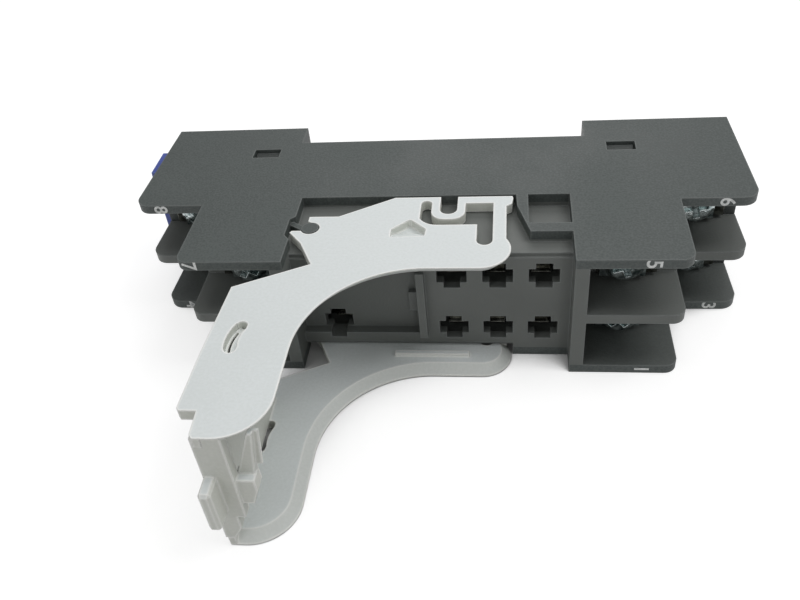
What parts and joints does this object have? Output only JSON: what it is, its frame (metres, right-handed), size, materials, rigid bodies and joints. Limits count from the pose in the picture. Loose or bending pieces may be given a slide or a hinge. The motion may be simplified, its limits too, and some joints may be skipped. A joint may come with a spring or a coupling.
{
  "type": "relay socket",
  "caption": "Slim two-pole plug-in relay socket for a 35 mm rail, with two tiers of screw terminals at each end, a pivoting release lever and a sliding rail latch.",
  "frame": {"origin": "middle of the rail seat, the floor of the rear notch, at the lower side face", "axes": "+X along the socket, +Y towards the rail, +Z across the socket's width, along the rail; the relay and the lever are on the -Y side"},
  "size_m": [0.0738, 0.0547, 0.016],
  "materials": {
    "body": "dark grey moulded thermoplastic, finely eroded",
    "lever": "pale grey moulded thermoplastic, satin",
    "latch": "blue moulded thermoplastic, satin",
    "contact": "nickel-plated strip",
    "steel": "zinc-plated"
  },
  "bodies": {
    "base": {"housing": "body", "rear_cover": "body", "terminal_1": "contact", "terminal_2": "contact", "terminal_3": "contact", "terminal_4": "contact", "terminal_5": "contact", "terminal_6": "contact", "terminal_7": "contact", "terminal_8": "contact"},
    "lever": {"release_lever": "lever"},
    "latch": {"din_latch": "latch"},
    "clamp_body_1": {"clamp_1": "steel"},
    "screw_body_1": {"screw_1": "steel"},
    "clamp_body_2": {"clamp_2": "steel"},
    "screw_body_2": {"screw_2": "steel"},
    "clamp_body_3": {"clamp_3": "steel"},
    "screw_body_3": {"screw_3": "steel"},
    "clamp_body_4": {"clamp_4": "steel"},
    "screw_body_4": {"screw_4": "steel"},
    "clamp_body_5": {"clamp_5": "steel"},
    "screw_body_5": {"screw_5": "steel"},
    "clamp_body_6": {"clamp_6": "steel"},
    "screw_body_6": {"screw_6": "steel"},
    "clamp_body_7": {"clamp_7": "steel"},
    "screw_body_7": {"screw_7": "steel"},
    "clamp_body_8": {"clamp_8": "steel"},
    "screw_body_8": {"screw_8": "steel"}
  },
  "joints": [
    {"name": "lever_pivot", "type": "hinge", "parent": "base", "child": "lever", "pos_m": [-0.0133, -0.0187, 0.008], "axis": [0, 0, 1], "range_deg": [-26, 0]},
    {"name": "latch_slide", "type": "slide", "parent": "base", "child": "latch", "axis": [-1, 0, 0], "range_m": [0, 0.002], "stiffness_N_per_m": 1500},
    {"name": "clamp_lift_1", "type": "slide", "parent": "base", "child": "clamp_body_1", "axis": [0, -1, 0], "range_m": [0, 0.002]},
    {"name": "screw_turn_1", "type": "hinge", "parent": "clamp_body_1", "child": "screw_body_1", "pos_m": [0.021, -0.01815, 0.01175], "axis": [0, -1, 0], "range_deg": [0, 1440]},
    {"name": "clamp_lift_2", "type": "slide", "parent": "base", "child": "clamp_body_2", "axis": [0, -1, 0], "range_m": [0, 0.002]},
    {"name": "screw_turn_2", "type": "hinge", "parent": "clamp_body_2", "child": "screw_body_2", "pos_m": [0.021, -0.01815, 0.00425], "axis": [0, -1, 0], "range_deg": [0, 1440]},
    {"name": "clamp_lift_3", "type": "slide", "parent": "base", "child": "clamp_body_3", "axis": [0, -1, 0], "range_m": [0, 0.002]},
    {"name": "screw_turn_3", "type": "hinge", "parent": "clamp_body_3", "child": "screw_body_3", "pos_m": [-0.021, -0.01815, 0.01175], "axis": [0, -1, 0], "range_deg": [0, 1440]},
    {"name": "clamp_lift_4", "type": "slide", "parent": "base", "child": "clamp_body_4", "axis": [0, -1, 0], "range_m": [0, 0.002]},
    {"name": "screw_turn_4", "type": "hinge", "parent": "clamp_body_4", "child": "screw_body_4", "pos_m": [-0.021, -0.01815, 0.00425], "axis": [0, -1, 0], "range_deg": [0, 1440]},
    {"name": "clamp_lift_5", "type": "slide", "parent": "base", "child": "clamp_body_5", "axis": [0, -1, 0], "range_m": [0, 0.002]},
    {"name": "screw_turn_5", "type": "hinge", "parent": "clamp_body_5", "child": "screw_body_5", "pos_m": [0.03005, -0.0073, 0.01175], "axis": [0, -1, 0], "range_deg": [0, 1440]},
    {"name": "clamp_lift_6", "type": "slide", "parent": "base", "child": "clamp_body_6", "axis": [0, -1, 0], "range_m": [0, 0.002]},
    {"name": "screw_turn_6", "type": "hinge", "parent": "clamp_body_6", "child": "screw_body_6", "pos_m": [0.03005, -0.0073, 0.00425], "axis": [0, -1, 0], "range_deg": [0, 1440]},
    {"name": "clamp_lift_7", "type": "slide", "parent": "base", "child": "clamp_body_7", "axis": [0, -1, 0], "range_m": [0, 0.002]},
    {"name": "screw_turn_7", "type": "hinge", "parent": "clamp_body_7", "child": "screw_body_7", "pos_m": [-0.03005, -0.0073, 0.01175], "axis": [0, -1, 0], "range_deg": [0, 1440]},
    {"name": "clamp_lift_8", "type": "slide", "parent": "base", "child": "clamp_body_8", "axis": [0, -1, 0], "range_m": [0, 0.002]},
    {"name": "screw_turn_8", "type": "hinge", "parent": "clamp_body_8", "child": "screw_body_8", "pos_m": [-0.03005, -0.0073, 0.00425], "axis": [0, -1, 0], "range_deg": [0, 1440]}
  ],
  "couplings": [
    {"joint": "screw_turn_1", "follows": "clamp_lift_1", "rad_per_m": 12566},
    {"joint": "screw_turn_2", "follows": "clamp_lift_2", "rad_per_m": 12566},
    {"joint": "screw_turn_3", "follows": "clamp_lift_3", "rad_per_m": 12566},
    {"joint": "screw_turn_4", "follows": "clamp_lift_4", "rad_per_m": 12566},
    {"joint": "screw_turn_5", "follows": "clamp_lift_5", "rad_per_m": 12566},
    {"joint": "screw_turn_6", "follows": "clamp_lift_6", "rad_per_m": 12566},
    {"joint": "screw_turn_7", "follows": "clamp_lift_7", "rad_per_m": 12566},
    {"joint": "screw_turn_8", "follows": "clamp_lift_8", "rad_per_m": 12566}
  ]
}
